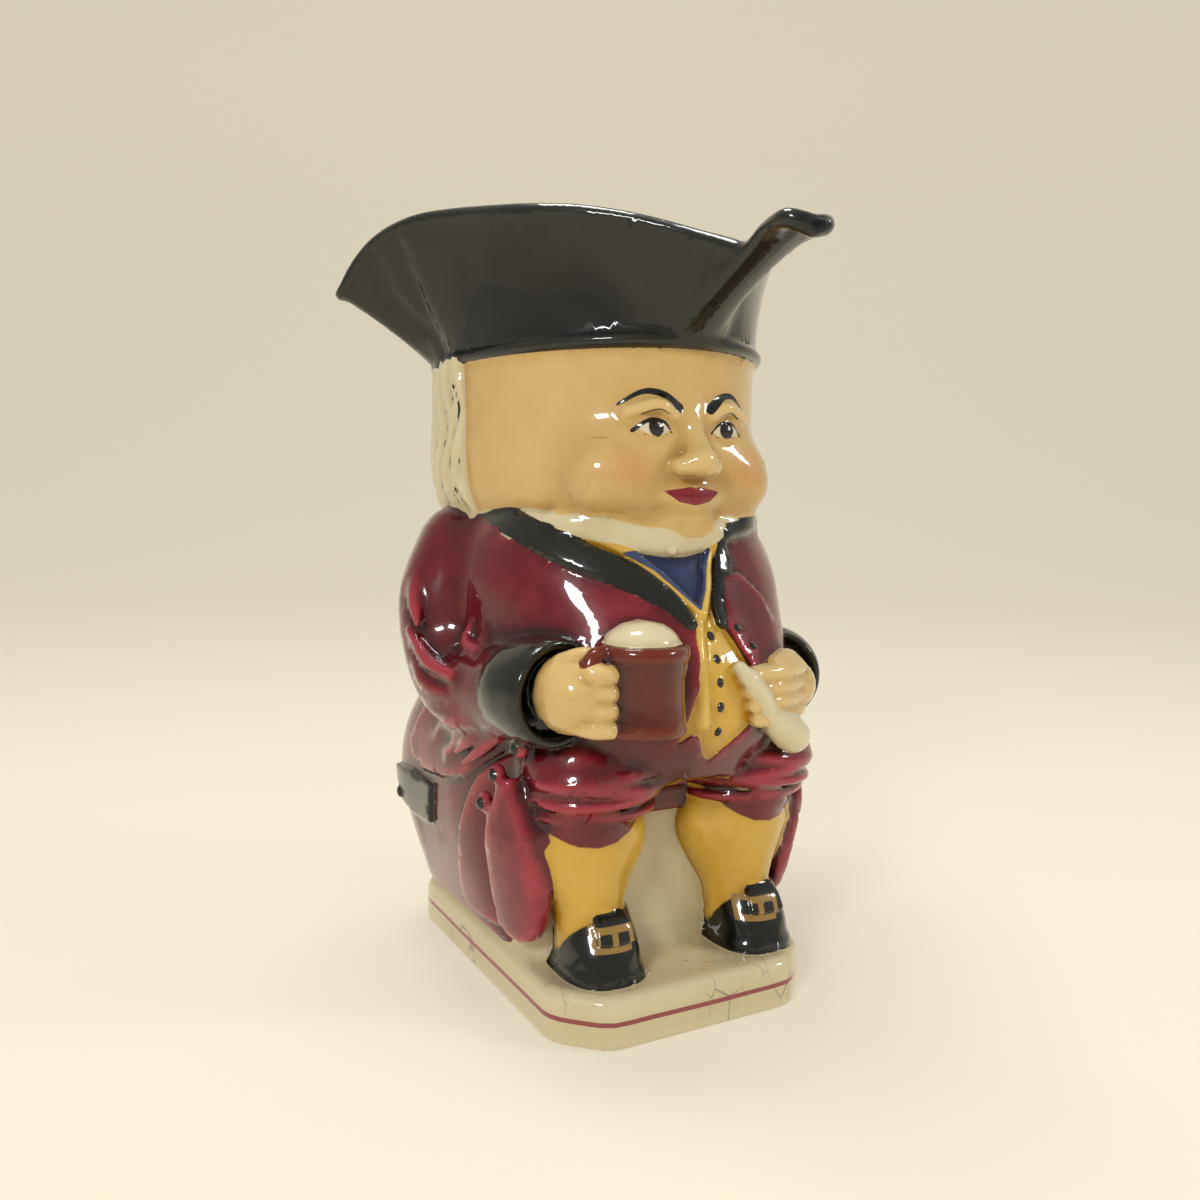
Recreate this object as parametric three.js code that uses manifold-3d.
import * as THREE from 'three';
import { mergeVertices } from 'three/addons/utils/BufferGeometryUtils.js';
import Module from 'manifold-3d';

const wasm = await Module();
wasm.setup();

// Sizes in millimetres. +Z is up, the figure faces -Y and its right hand is on -X.
const plinthWidth = 92;
const plinthDepth = 134;
const plinthHeight = 15.7;
const plinthCorner = 13.7;
const plinthEdge = 3;
const figureHeight = 228;
const wall = 4.5;
const floorThickness = 5;
const brimWall = 3.2;
const spoutReach = 47.5;
const cornerReach = 30;
const brimBow = 1.5;
const spoutBow = 5;
const handleWidth = 14;
const handleDepth = 10;
const handleReach = 36;
const mugDiameter = 27;
const mugHeight = 24.5;
const froth = 8;
const pipeBowl = 11;
const fingerWidth = 6;
const coatLift = 1.6;
const hairLift = 1.8;

// The figure's places are shares of a figure on a plinth 92 wide and 134 deep, 228 tall over it.
const wide = plinthWidth / 92;
const deep = plinthDepth / 134;
const tall = figureHeight / 228;
const girth = (wide + deep) / 2;
const level = (z) => plinthHeight + z * tall;
const place = (x, y, z) => new THREE.Vector3(x * wide, y * deep, level(z));

function solid(geometry) {
  const bare = geometry.clone();
  bare.deleteAttribute('normal');
  bare.deleteAttribute('uv');
  const merged = mergeVertices(bare, 1e-4);
  return new wasm.Manifold(new wasm.Mesh({
    numProp: 3,
    vertProperties: new Float32Array(merged.attributes.position.array),
    triVerts: new Uint32Array(merged.index.array),
  }));
}

const join = (list) => list.reduce((sum, next) => sum.add(next));

// Parts that meet at a slant can leave a pinhead pocket between them, which the clay fills.
function filled(body) {
  return wasm.Manifold.compose(body.decompose().filter((shell) => shell.volume() > 0));
}

// A closed body through rings of points, all with the same number of points.
function skin(rings) {
  const count = rings[0].length;
  const middle = (ring) => ring
    .reduce((sum, point) => sum.add(point), new THREE.Vector3())
    .divideScalar(count);
  const points = rings.flat();
  points.push(middle(rings[0]), middle(rings[rings.length - 1]));
  const first = points.length - 2;
  const last = points.length - 1;
  const index = [];
  for (let i = 0; i < count; i++) {
    const j = (i + 1) % count;
    for (let k = 0; k + 1 < rings.length; k++) {
      const a = k * count + i;
      const b = k * count + j;
      index.push(a, b, b + count, a, b + count, a + count);
    }
    const top = (rings.length - 1) * count;
    index.push(first, j, i);
    index.push(last, top + i, top + j);
  }
  const geometry = new THREE.BufferGeometry().setFromPoints(points);
  geometry.setIndex(index);
  return solid(geometry);
}

// One level section: [height, half width, front, back, squareness, how much the back widens].
function levelRing([z, half, front, back, power, flare = 0], inset, x, count) {
  const a = half * wide - inset;
  const b = (back - front) / 2 * deep - inset;
  const middle = (front + back) / 2 * deep;
  const ring = [];
  for (let i = 0; i < count; i++) {
    const turn = 2 * Math.PI * i / count;
    const c = Math.cos(turn);
    const s = Math.sin(turn);
    const px = a * Math.sign(c) * Math.abs(c) ** (2 / power) * (1 + flare * s);
    const py = b * Math.sign(s) * Math.abs(s) ** (2 / power);
    ring.push(new THREE.Vector3(x * wide + px, middle + py, level(z)));
  }
  return ring;
}

function loft(sections, { inset = 0, x = 0, count = 20 } = {}) {
  return skin(sections.map((section) => levelRing(section, inset, x, count)));
}

// The front of a loft at a given x and height.
function frontOf(sections, x, z, lift = 0) {
  let k = 0;
  while (k + 2 < sections.length && sections[k + 1][0] < z) k += 1;
  const [low, high] = [sections[k], sections[k + 1]];
  const share = THREE.MathUtils.clamp((z - low[0]) / (high[0] - low[0]), 0, 1);
  const [, half, front, back, power] = low.map((v, i) => v + (high[i] - v) * share);
  const rest = Math.max(0, 1 - Math.min(1, Math.abs(x) / half) ** power);
  const y = (front + back) / 2 - (back - front) / 2 * rest ** (1 / power);
  return place(x, y - lift, z);
}

// A rounded body along a curve. Each stop is [point, half width, half thickness], and the
// thickness is measured toward `face`.
function sweep(stops, options = {}) {
  const {
    face = new THREE.Vector3(0, -1, 0), steps = 4, count = 8, inset = 0, blunt = false,
  } = options;
  const curve = new THREE.CatmullRomCurve3(stops.map(([point]) => point));
  const sizes = new THREE.CatmullRomCurve3(
    stops.map(([, w, t]) => new THREE.Vector3(w, t ?? w, 0).multiplyScalar(girth)),
  );
  const rings = [];
  const ring = (centre, along, width, thick) => {
    const side = new THREE.Vector3().crossVectors(along, face).normalize();
    const out = new THREE.Vector3().crossVectors(side, along).normalize();
    return Array.from({ length: count }, (_, i) => {
      const turn = 2 * Math.PI * i / count;
      return centre.clone()
        .addScaledVector(side, width * Math.cos(turn))
        .addScaledVector(out, thick * Math.sin(turn));
    });
  };
  const domes = blunt ? [] : [Math.PI * 0.3];
  for (let i = 0; i <= steps; i++) {
    const centre = curve.getPoint(i / steps);
    const along = curve.getTangent(i / steps);
    const size = sizes.getPoint(i / steps);
    const width = size.x - inset;
    const thick = size.y - inset;
    const end = (sign, angles) => angles.forEach((angle) => {
      const reach = sign * Math.min(width, thick) * Math.sin(angle);
      const shrink = Math.cos(angle);
      rings.push(ring(centre.clone().addScaledVector(along, reach), along, width * shrink,
        thick * shrink));
    });
    if (i === 0) end(-1, domes);
    rings.push(ring(centre, along, width, thick));
    if (i === steps) end(1, [...domes].reverse());
  }
  return skin(rings.map((points) => points.reverse()));
}

function ball(centre, [rx, ry, rz], { turn = [0, 0, 0], count = 14 } = {}) {
  const geometry = new THREE.SphereGeometry(1, count, Math.round(count * 0.7));
  geometry.scale(rx * girth, ry * girth, rz * girth);
  geometry.applyMatrix4(new THREE.Matrix4().makeRotationFromEuler(new THREE.Euler(...turn)));
  geometry.translate(centre.x, centre.y, centre.z);
  return solid(geometry);
}

// A turned body standing at `centre`; the profile runs [radius, height] from axis to axis.
function turned(centre, profile, count = 12) {
  const geometry = new THREE.LatheGeometry(profile.map(([r, h]) => new THREE.Vector2(r, h)), count);
  geometry.rotateX(Math.PI / 2);
  geometry.translate(centre.x, centre.y, centre.z);
  return solid(geometry);
}

// An upright slab behind an outline drawn in x and height, from one depth to another.
function slab(outline, fromY, toY) {
  const shape = new THREE.Shape(outline.map(([x, z]) => new THREE.Vector2(x * wide, level(z))));
  const geometry = new THREE.ExtrudeGeometry(shape, {
    depth: (toY - fromY) * deep,
    bevelEnabled: false,
  });
  geometry.rotateX(Math.PI / 2);
  geometry.translate(0, toY * deep, 0);
  return solid(geometry);
}

const seat = [
  [-3, 43, -34, 66, 7],
  [5, 43, -31.5, 66, 7],
  [50, 43, -31, 66, 7],
];

const skirt = [
  [2.5, 46.5, -24, 72, 5, 0.03],
  [26, 52.5, -27, 75.5, 4.4, 0.1],
  [42, 55.2, -30, 77, 4, 0.13],
  [68, 54.5, -38, 74, 3.2, 0.09],
  [78, 51.5, -42, 71, 2.7, 0.05],
  [86, 49, -42, 67.5, 2.4],
];

const torso = [
  [58, 47, -50, 67, 2.6],
  [76, 50, -61.5, 68.5, 2.3],
  [84, 50.5, -62.5, 69, 2.25],
  [94, 51, -61, 69, 2.25],
  [104, 51.5, -56, 69, 2.3],
  [122, 52.5, -46, 69, 2.4],
  [130, 50, -43, 68, 2.3],
  [136, 46, -41, 67, 2.2],
  [142, 43, -38, 65, 2.2],
];

const head = [
  [130, 41, -34, 65, 2.1, 0.1],
  [136, 45.5, -41, 67.5, 2.1, 0.12],
  [142, 49, -44.5, 69, 2.1, 0.13],
  [150, 50.5, -46, 69.5, 2.1, 0.14],
  [172, 50.5, -46.5, 69.5, 2.1, 0.14],
  [194, 50.5, -46.5, 69, 2.1, 0.13],
];

const hatFoot = [185.5, 51, -47.5, 70, 2.1, 0.14];
const hatTilt = -0.04;

// The plinth's outline with its corners cut off and their angles softened.
function plinthRing(inset, z) {
  const a = plinthWidth / 2 - inset;
  const b = plinthDepth / 2 - inset;
  const c = plinthCorner - inset * 0.6;
  const middle = 7.4 * deep;
  const corners = [
    [-a, -b + c], [-a + c, -b], [a - c, -b], [a, -b + c],
    [a, b - c], [a - c, b], [-a + c, b], [-a, b - c],
  ].map(([x, y]) => new THREE.Vector3(x, y + middle, z));
  const soft = c * 0.3;
  return corners.flatMap((corner, i) => {
    const enter = corner.clone().add(corners[(i + 7) % 8].clone().sub(corner).setLength(soft));
    const leave = corner.clone().add(corners[(i + 1) % 8].clone().sub(corner).setLength(soft));
    return new THREE.QuadraticBezierCurve3(enter, corner, leave).getPoints(2);
  });
}

function plinth() {
  const e = plinthEdge;
  const h = plinthHeight;
  return skin([[e * 0.2, 0], [0, e * 0.2], [0, h - e], [e * 0.3, h - e * 0.3], [e, h]]
    .map(([inset, z]) => plinthRing(inset, z)));
}

function board() {
  return loft([[44.5, 46, -33.5, 62, 7], [52, 46, -33.5, 62, 7]]);
}

const folds = [
  [[-49, -35, 68, 7], [-48, -33, 48, 8.5], [-44.5, -31, 28, 9], [-44, -28, 15, 8]],
  [[-51, -22, 64, 7], [-50.5, -16, 42, 9], [-47, -11, 22, 9], [-45, -9, 9, 8]],
  [[-52, -3, 58, 7], [-51, 6, 38, 10], [-48, 14, 20, 10], [-46, 18, 8, 8.5]],
];

function coatFolds(side) {
  return folds.map((line) => sweep(
    line.map(([x, y, z, r]) => [place(-side * x, y, z), r]),
    { steps: 3, count: 6 },
  ));
}

const thigh = [[-25, 4, 66, 19], [-27, -16, 63, 19], [-29, -33, 60.5, 18.5], [-29, -33, 50, 17]];

function limbStops(line, side) {
  return line.map(([x, y, z, r, t]) => [place(-side * x, y, z), r, t]);
}

function breeches(side) {
  const middle = side * 28.5 + 2;
  return [
    sweep(limbStops(thigh, side), { face: new THREE.Vector3(1, 0, 0), steps: 4, count: 12 }),
    ball(place(middle, -35, 63), [22, 19, 15.5], { count: 10 }),
    ball(place(middle, -31, 50), [22.6, 19.6, 4.6], { count: 10 }),
  ];
}

function stocking(side) {
  const line = [[-27, -29.5, 51, 15.6, 18], [-27.4, -30, 40, 17.2, 21.2],
    [-27.8, -32, 29, 14.4, 16.8], [-27.5, -35, 18, 10.4, 11]];
  return sweep(limbStops(line, side), { face: new THREE.Vector3(1, 0, 0), steps: 4, count: 12 });
}

function shoe(side) {
  return loft([
    [-2, 12.3, -53, -22, 2.6],
    [0.6, 12.7, -53.4, -21.5, 2.6],
    [3, 12.7, -53.4, -21.5, 2.6],
    [4, 12.2, -53, -22, 2.5],
    [9, 12, -51.6, -22.5, 2.3],
    [14, 11.4, -48, -23, 2.1],
    [18, 11.3, -46, -23, 2],
    [20.5, 11, -46, -23.5, 2],
  ], { x: side * 27.5 + 2, count: 16 });
}

const arms = {
  right: [[-44.5, 21, 123.5, 17.5], [-51, 20, 109, 17], [-53, 15, 94, 15.2], [-53, 4, 84, 14],
    [-50, -12, 84, 13.2], [-48, -31, 86, 12.6]],
  left: [[45, 15, 122, 17.5], [52.5, 11, 108, 17], [54.5, 6, 95, 15.4], [55, -3, 86, 14],
    [50.5, -15, 84.5, 13.4], [46.5, -24, 85, 13]],
};

function sleeve(line) {
  return sweep(line.map(([x, y, z, r]) => [place(x, y, z), r]), {
    face: new THREE.Vector3(1, 0, 0), steps: 6, count: 9,
  });
}

function cuff(line) {
  return sweep(line.map(([x, y, z, r]) => [place(x, y, z), r]), {
    face: new THREE.Vector3(1, 0, 0), steps: 4, count: 12, blunt: true,
  });
}

function finger(points) {
  const r = fingerWidth / 2 / girth;
  return sweep(points.map((point) => [point, r]), { face: new THREE.Vector3(0, 0, 1), steps: 2,
    count: 5 });
}

function mugHand() {
  const parts = [ball(place(-43.5, -53.5, 88.5), [10.4, 13.5, 11.6], { count: 8 })];
  for (let i = 0; i < 4; i++) {
    const z = 96.4 - i * 5;
    parts.push(finger([place(-45, -57, z), place(-42.5, -63, z - 0.4), place(-38, -65, z - 0.8)]));
  }
  return parts;
}

function mug() {
  const r = mugDiameter / 2;
  const h = mugHeight;
  const foot = place(-25, -60.5, 78);
  const body = turned(foot, [
    [0, 0], [r, 0], [r * 0.95, h * 0.12], [r * 0.93, h * 0.8], [r, h * 0.84], [r * 0.94, h * 0.89],
    [r, h * 0.94], [r * 0.96, h], [0, h],
  ]);
  const top = foot.clone().add(new THREE.Vector3(0, 0, h));
  const foam = ball(top, [r * 0.85 / girth, r * 0.85 / girth, froth / girth], { count: 8 });
  const ear = (dx, dy, dz) => foot.clone().add(new THREE.Vector3(dx, dy, dz));
  const grip = sweep([
    [ear(-r * 0.8, 0, h * 0.88), 2.6],
    [ear(-r * 1.45, 1, h * 0.9), 2.8],
    [ear(-r * 1.7, 2, h * 0.7), 2.8],
  ], { steps: 4, count: 6 });
  return [body, foam, grip];
}

function pipeHand() {
  const parts = [ball(place(32.5, -48, 85), [13, 11, 10], { count: 8 })];
  for (let i = 0; i < 4; i++) {
    const z = 92 - i * 4.4;
    parts.push(finger([place(34, -56, z), place(23, -61.5, z), place(9.5 + i * 2, -62.5, z - 0.6)]));
  }
  return parts;
}

function pipe() {
  const r = pipeBowl / 2 / girth;
  return sweep([[place(8, -61, 95), r * 0.5], [place(13, -61.5, 87), r * 0.6],
    [place(20, -61.5, 78), r * 0.75], [place(32, -58, 70), r]], { steps: 4 });
}

// The lower front edges of the coat, drawn in x and height.
const coatEdge = [[-66, 60], [-17, 60], [-13, 70], [-8, 90], [-5, 104], [-2, 108], [-12, 119],
  [-30, 131], [-46, 137], [-66, 137]];

const lapelEdge = [[66, 64], [52, 64], [36, 84], [22, 92], [6, 105], [5, 108], [12, 119],
  [30, 131], [46, 137], [66, 137]];

// The coat's fronts are the torso drawn a little larger and kept inside an outline.
function coatFronts() {
  const larger = loft(torso, { inset: -coatLift });
  return [coatEdge, lapelEdge].map((outline) => larger.intersect(slab(outline, -75, 5)));
}

function along(sections, line, lift) {
  return line.map(([x, z, w, t]) => [frontOf(sections, x, z, lift), w, t]);
}

function collar(side, width) {
  const line = [[47, 139, 5], [36, 133, 5.6], [22, 124, 5.6], [10, 115, 5], [3.5, 107, 3]];
  const stops = along(torso, line.map(([x, z, w]) => [side * x, z, w * width, 2.6]), 0.8);
  return sweep(stops, { face: new THREE.Vector3(side * 0.35, -0.9, 0.25), steps: 5, count: 7 });
}

function waistcoatEdge(side) {
  const stops = along(torso, [[side * 27, 131, 1.8], [side * 14, 121, 1.8], [side * 1.5, 109, 1.8]],
    0.9);
  return sweep(stops, { steps: 3, count: 5 });
}

function neckcloth() {
  const line = [[-42, 137, 4], [-24, 131, 5], [-8, 125, 5.5], [8, 125, 5.5], [24, 131, 5],
    [42, 137, 4]];
  return sweep(along(torso, line.map(([x, z, w]) => [x, z, w, 4]), 1.2), { steps: 6, count: 6 });
}

function face() {
  const both = (make) => [make(-1), make(1)];
  const upright = { face: new THREE.Vector3(1, 0, 0), steps: 3, count: 8 };
  return [
    sweep([[place(0, -46, 171), 3], [place(0, -50.5, 161), 4.2], [place(0, -53.5, 155), 5.2]], upright),
    ...both((s) => ball(place(s * 5.4, -49.5, 154), [3.4, 4.2, 3.2], { count: 5 })),
    ...both((s) => ball(place(s * 20, -33.5, 149), [14, 10.5, 12.5], { count: 8 })),
    sweep([[place(-9, -44.6, 145), 1.8], [place(0, -46.6, 144.4), 2.6], [place(9, -44.6, 145), 1.8]],
      { face: new THREE.Vector3(0, 0, 1), steps: 4, count: 6 }),
    ball(place(0, -40.5, 137), [10, 8, 6.5], { count: 8 }),
    sweep([[place(-30, -27, 134), 6], [place(0, -37.5, 131), 6.5], [place(30, -27, 134), 6]],
      { steps: 4, count: 8 }),
  ];
}

// The hair is the head drawn a little larger behind the temples.
function hair() {
  const larger = loft([...head.slice(0, -1), [186, ...head[4].slice(1)]], { inset: -hairLift });
  const cut = (x0, x1, y0, y1) => {
    const geometry = new THREE.BoxGeometry((x1 - x0) * wide, (y1 - y0) * deep, 80 * tall);
    geometry.translate((x0 + x1) / 2 * wide, (y0 + y1) / 2 * deep, level(160));
    return solid(geometry);
  };
  return larger.intersect(cut(-80, 80, 8, 90));
}

// Half of the rim, from the spout round to the back: [turn at the foot in degrees, x, y, height].
const rimHalf = [
  [0, 0, -97.5, 212.2], [2, 3.8, -97.2, 212.8], [4.4, 6.3, -94.5, 213.4], [7, 5.9, -86, 212],
  [9, 5.5, -77, 209], [11, 7.2, -69.5, 211.5], [14, 11.4, -61.5, 214.7], [20, 17.2, -54.2, 218],
  [29, 25.5, -46.6, 221], [41, 36, -36.5, 223.6], [54, 45.3, -25.5, 225], [67, 51.8, -13, 226.4],
  [80, 57.7, 0.5, 227.8], [90, 64.8, 11, 227.6], [98, 70.5, 19.4, 225.6], [103, 74.5, 26.7, 222.6],
  [107.5, 78, 32.5, 217.5], [111, 81.2, 37, 210.6], [114, 81.9, 41.5, 208], [117, 79, 45.8, 210.4],
  [122, 70.5, 52, 216.4], [130, 58, 60, 220], [142, 41.5, 68, 221.6], [160, 20, 73.4, 222.8],
  [180, 0, 75, 223],
];

// A ring of the hat: `rise` runs from the foot, 0, to the rim, 1. The brim curves out to the rim.
function hatRing(rise, inset, drop = 0) {
  const [foot, half, front, back, power, flare] = hatFoot;
  const a = half * wide;
  const b = (back - front) / 2 * deep;
  const middle = (front + back) / 2 * deep;
  const near = (turn, middleTurn, spread) => Math.max(0, 1 - Math.abs(turn - middleTurn) / spread);
  const ring = (side) => rimHalf.map(([turn, x, y, z]) => {
    const angle = THREE.MathUtils.degToRad(turn);
    const dx = Math.sin(angle);
    const dy = -Math.cos(angle);
    const r = (Math.abs(dx / a) ** power + Math.abs(dy / b) ** power) ** (-1 / power);
    const widen = 1 + flare * dy * r / b;
    const from = new THREE.Vector3(side * dx * r * widen, middle + dy * r,
      level(foot + (middle + dy * r) * hatTilt));
    const reach = place(side * x, y, z).sub(from);
    const stretch = 1 + (spoutReach / 47.5 - 1) * near(turn, 0, 21)
      + (cornerReach / 30 - 1) * near(turn, 113, 30);
    reach.x *= stretch;
    reach.y *= stretch;
    const bow = (brimBow + (spoutBow - brimBow) * near(turn, 0, 21)) * Math.sin(Math.PI * rise);
    const back = bow / Math.hypot(reach.x, reach.y);
    return from.add(new THREE.Vector3(reach.x * (rise - back), reach.y * (rise - back),
      reach.z * rise));
  });
  const plan = [...ring(1), ...ring(-1).slice(1, -1).reverse()];
  const count = plan.length;
  return plan.map((point, i) => {
    const run = plan[(i + 1) % count].clone().sub(plan[(i + count - 1) % count]);
    const outward = new THREE.Vector3(run.y, -run.x, 0).normalize();
    return point.clone().addScaledVector(outward, -inset).setZ(point.z - drop);
  });
}

function hat() {
  const w = brimWall;
  const rings = [
    hatRing(-0.06, 6),
    hatRing(0, 0),
    hatRing(0.4, 0.3),
    hatRing(0.7, 0.3),
    hatRing(0.94, -0.5),
    hatRing(1, w * 0.3, 0.2),
    hatRing(1, w * 0.75, 0.2),
    hatRing(0.95, w),
    hatRing(0.55, w),
    hatRing(0.02, w + 1),
  ];
  return skin(rings);
}

function handle() {
  const back = 69 * deep;
  const reach = handleReach + back;
  const at = (y, z) => new THREE.Vector3(0, y, level(z));
  const line = [at(back - 4, 176), at(back + handleReach * 0.55, 178), at(reach - handleDepth / 2, 160),
    at(reach - handleDepth / 2, 130), at(back + handleReach * 0.6, 98), at(back - 5, 82)];
  const half = [handleDepth / 2 / girth, handleWidth / 2 / girth];
  return sweep(line.map((point, i) => [point, half[0], half[1] * (i % 5 === 0 ? 1.25 : 1)]),
    { face: new THREE.Vector3(1, 0, 0), steps: 7, count: 8 });
}

function inside() {
  const under = (z) => (z - plinthHeight) / tall;
  const slot = [
    [under(floorThickness), 43, -54, 40, 5],
    [under(plinthHeight - wall), 43, -54, 40, 5],
  ];
  const trunk = [
    [under(floorThickness), 43, -31, 66, 6],
    [2, 43.5, -31, 69, 5.5],
    [30, 52, -31, 74, 4.2, 0.09],
    [50, 54, -32, 75, 3.7, 0.11],
    [64, 50, -50, 70, 2.7, 0.05],
    ...torso.filter(([z]) => [76, 84, 104, 122].includes(z)),
    [137, 45.5, -40.5, 66.5, 2.15, 0.08],
    [150, 50.5, -46, 69.5, 2.1, 0.14],
    [178, 50.5, -46.5, 69.5, 2.1, 0.14],
    [200, 53, -50, 72, 2.1, 0.14],
  ];
  const round = { face: new THREE.Vector3(1, 0, 0), inset: wall, count: 6 };
  const hollow = [slot, trunk].map((sections) => loft(sections, { inset: wall, count: 16 }));
  [arms.right.slice(0, -1), arms.left.slice(0, -1)].forEach((line) => {
    hollow.push(sweep(line.map(([x, y, z, r]) => [place(x, y, z), r]), { ...round, steps: 5 }));
  });
  [-1, 1].forEach((side) => {
    hollow.push(sweep(limbStops(thigh.slice(0, 3), side), { ...round, steps: 3 }));
  });
  return join(hollow);
}

function jug() {
  const cuffs = {
    right: [[-48.5, -27, 86, 13.8], [-47, -33, 87, 15.8], [-44.8, -43, 87.5, 16.2],
      [-43.8, -47.5, 87.5, 15.2]],
    left: [[50.5, -12, 85.5, 14], [47.5, -21, 85.5, 15.4], [42.5, -32, 85.5, 15.8],
      [39.5, -37, 85.5, 14.6]],
  };
  const both = (make) => [-1, 1].map(make).flat();
  const outer = join([
    plinth(),
    loft(seat),
    board(),
    loft(skirt),
    loft(torso),
    loft(head),
    hat(),
    ...both(coatFolds),
    ...both(breeches),
    ...both(stocking),
    ...both(shoe),
    sleeve(arms.right),
    sleeve(arms.left),
    cuff(cuffs.right),
    cuff(cuffs.left),
    ...mugHand(),
    ...mug(),
    ...pipeHand(),
    pipe(),
    ...coatFronts(),
    collar(-1, 1),
    collar(1, 0.8),
    ...both(waistcoatEdge),
    neckcloth(),
    ...face(),
    hair(),
    handle(),
  ]);
  return filled(outer.subtract(inside()));
}

function mesh(name, body, material) {
  const { vertProperties, triVerts } = body.getMesh();
  const geometry = new THREE.BufferGeometry();
  geometry.setAttribute('position', new THREE.BufferAttribute(new Float32Array(vertProperties), 3));
  geometry.setIndex(new THREE.BufferAttribute(new Uint32Array(triVerts), 1));
  geometry.computeVertexNormals();
  const part = new THREE.Mesh(geometry, new THREE.MeshStandardMaterial(material));
  part.name = name;
  return part;
}

const root = new THREE.Group();
root.name = 'toby_jug_group';
root.add(mesh('toby_jug', jug(), { color: 0x7a1f33, roughness: 0.18, metalness: 0 }));

export default root;
